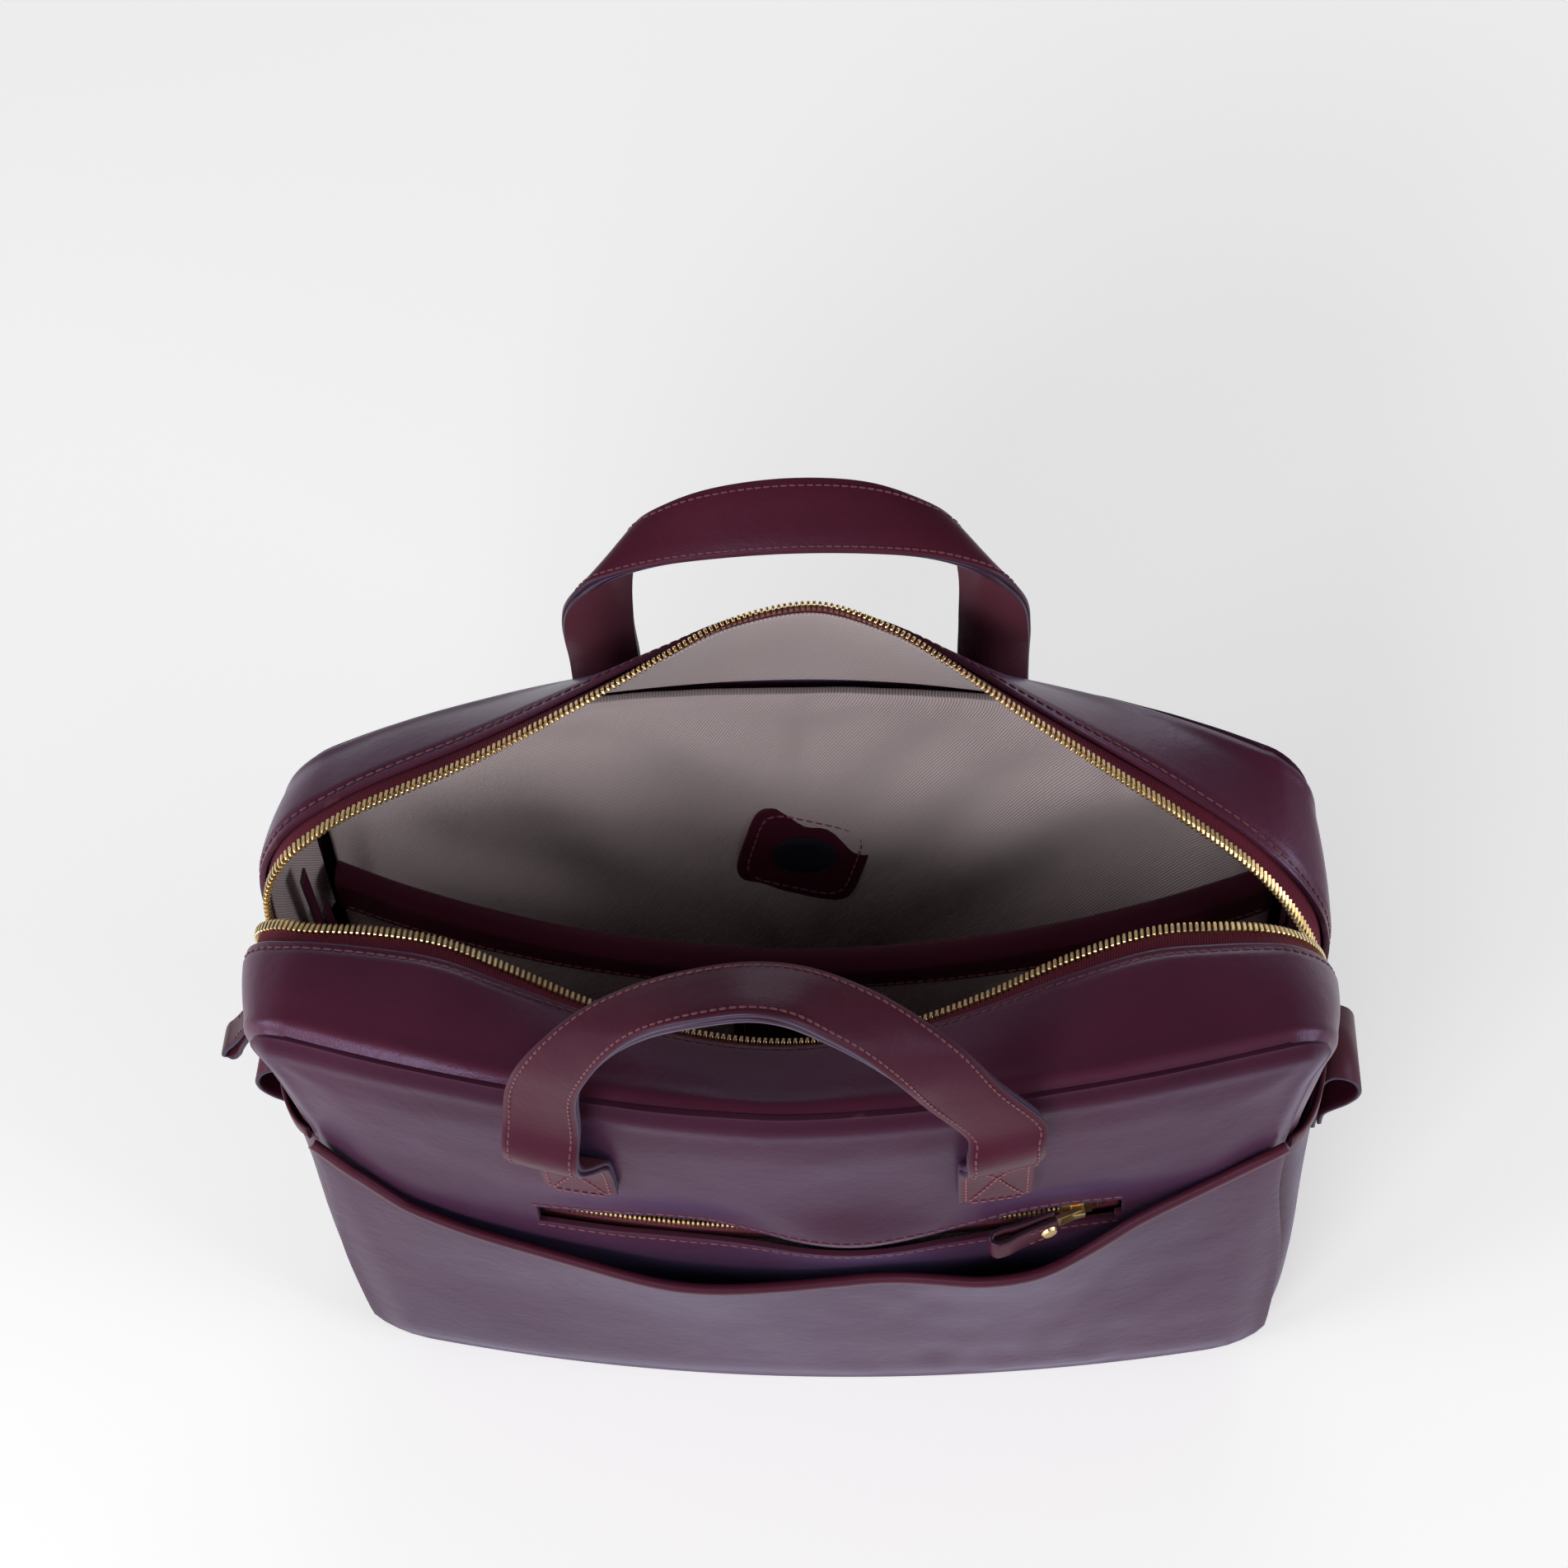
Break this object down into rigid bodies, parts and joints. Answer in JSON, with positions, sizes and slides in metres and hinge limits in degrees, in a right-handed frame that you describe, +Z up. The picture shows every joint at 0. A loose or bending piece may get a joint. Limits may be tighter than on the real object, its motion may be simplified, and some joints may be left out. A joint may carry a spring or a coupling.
{
  "type": "satchel bag",
  "caption": "Zip-topped leather bag standing open, with two flat strap handles, a front slip pocket over a zip pocket, side loops and a padded divider.",
  "frame": {"origin": "middle of the base, at the level it stands on", "axes": "+X to the right seen from the front, -Y out of the front with its slip pocket, +Z up"},
  "size_m": [0.4567, 0.2382, 0.3747],
  "materials": {
    "leather": "smooth, softly polished",
    "leather_edge": "painted cut edge",
    "zip_tape": "fine woven tape",
    "brass": "polished",
    "lining": "cotton twill",
    "foam": "closed-cell foam sheet",
    "board": "stiff fibre board",
    "dark_inset": "plain black, fine grain"
  },
  "bodies": {
    "shell": {"base_board": "board", "divider_cap": "leather", "divider_foam": "foam", "divider_front_facing": "lining", "divider_pocket": "leather", "divider_rear_facing": "lining", "front_foam": "foam", "front_handle_end_left": "leather", "front_handle_end_right": "leather", "front_handle_stay_left": "board", "front_handle_stay_right": "board", "front_lining": "lining", "front_panel": "leather", "front_tooth_row": "brass", "front_top_gusset": "leather", "front_top_lining": "lining", "front_zip_tape": "zip_tape", "gusset_binding_front_left": "leather", "gusset_binding_front_right": "leather", "gusset_binding_rear_left": "leather", "gusset_binding_rear_right": "leather", "gusset_lining": "lining", "lining_patch": "leather", "lining_patch_inset": "dark_inset", "lower_gusset": "leather", "pocket_tooth_row_lower": "brass", "pocket_tooth_row_upper": "brass", "pocket_zip_tape_lower": "zip_tape", "pocket_zip_tape_upper": "zip_tape", "rear_foam": "foam", "rear_handle_end_left": "leather", "rear_handle_end_right": "leather", "rear_handle_stay_left": "board", "rear_handle_stay_right": "board", "rear_lining": "lining", "rear_panel": "leather", "rear_tooth_row": "brass", "rear_top_gusset": "leather", "rear_top_lining": "lining", "rear_zip_tape": "zip_tape", "side_loop_left": "leather", "side_loop_right": "leather", "slip_pocket_edge": "leather_edge", "slip_pocket_panel": "leather", "zip_pocket_pouch": "lining", "zip_stop_left": "brass", "zip_stop_right": "brass"},
    "front_handle": {"front_handle_strap": "leather", "front_handle_backing": "leather"},
    "rear_handle": {"rear_handle_strap": "leather", "rear_handle_backing": "leather"},
    "main_slider": {"main_slider": "brass"},
    "main_pull": {"main_pull_link": "brass", "main_pull_leather": "leather", "main_pull_rivet": "brass"},
    "pocket_slider": {"pocket_slider": "brass"},
    "pocket_pull": {"pocket_pull_link": "brass", "pocket_pull_leather": "leather", "pocket_pull_rivet": "brass"}
  },
  "joints": [
    {"name": "front_handle_swing", "type": "hinge", "parent": "shell", "child": "front_handle", "pos_m": [0, -0.096, 0.2845], "axis": [1, 0, 0], "range_deg": [-50, 120]},
    {"name": "rear_handle_swing", "type": "hinge", "parent": "shell", "child": "rear_handle", "pos_m": [0, 0.1095, 0.2845], "axis": [1, 0, 0], "range_deg": [-130, 1]},
    {"name": "main_slider_travel", "type": "slide", "parent": "shell", "child": "main_slider", "axis": [0, 0, 1], "range_m": [0, 0.022]},
    {"name": "main_pull_swing", "type": "hinge", "parent": "main_slider", "child": "main_pull", "pos_m": [-0.2059, 0, 0.212], "axis": [0, 1, 0], "range_deg": [0, 110]},
    {"name": "pocket_slider_travel", "type": "hinge", "parent": "shell", "child": "pocket_slider", "pos_m": [0, 0.4555, 0.174], "axis": [0, 0, 1], "range_deg": [-20, 0]},
    {"name": "pocket_pull_swing", "type": "hinge", "parent": "pocket_slider", "child": "pocket_pull", "pos_m": [0.10825, -0.07446, 0.174], "axis": [0, 0, 1], "range_deg": [0, 90]}
  ]
}
